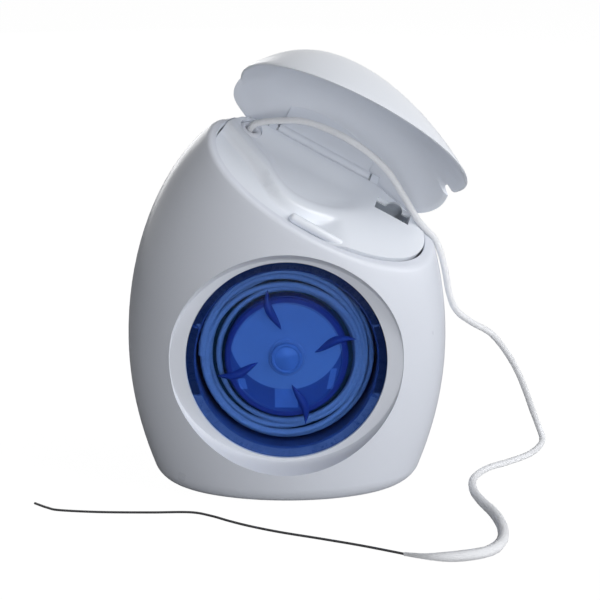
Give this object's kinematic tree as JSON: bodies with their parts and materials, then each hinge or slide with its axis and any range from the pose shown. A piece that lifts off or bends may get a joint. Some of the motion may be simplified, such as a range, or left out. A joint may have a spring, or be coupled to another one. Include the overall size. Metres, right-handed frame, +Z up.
{
  "type": "dental floss dispenser",
  "caption": "Egg-shaped dental floss dispenser with a slanted hinged lid, a round window over a turning spool, a cutter and a strand of spongy floss with a threader",
  "frame": {"origin": "the middle of the flat base, at the height of the ground", "axes": "+X to the right as pictured, +Y to the rear, +Z up"},
  "size_m": [0.0892, 0.061, 0.0738],
  "materials": {
    "casing": "glossy white moulded plastic",
    "steel": "plain steel",
    "guide": "smooth moulded plastic",
    "lens": "clear blue plastic",
    "clamp": "dark blue plastic",
    "spool": "tinted blue plastic",
    "washer": "soft grey rubber",
    "floss": "fine spongy thread",
    "threader": "stiffened thread"
  },
  "bodies": {
    "housing": {"front_shell": "casing", "rear_shell": "casing", "deck": "casing", "hinge_pin": "steel", "cutter_blade": "steel", "floss_guide": "guide", "window_lens": "lens", "window_clamp": "clamp", "drag_washer": "washer", "spindle": "guide", "spindle_cap": "spool", "feed_strand": "floss", "floss_strand": "floss", "floss_threader": "threader"},
    "lid": {"lid": "casing"},
    "spool": {"spool_drum": "spool", "spool_flange": "spool", "spool_face": "spool", "floss_core": "floss", "floss_winding": "floss"}
  },
  "joints": [
    {"name": "lid_hinge", "type": "hinge", "parent": "housing", "child": "lid", "pos_m": [0.00121, 0.00784, 0.05816], "axis": [0.8776, 0, -0.4795], "range_deg": [0, 55.8]},
    {"name": "spool_spin", "type": "hinge", "parent": "housing", "child": "spool", "pos_m": [0, 0, 0.024], "axis": [0, 1, 0], "continuous": true}
  ]
}
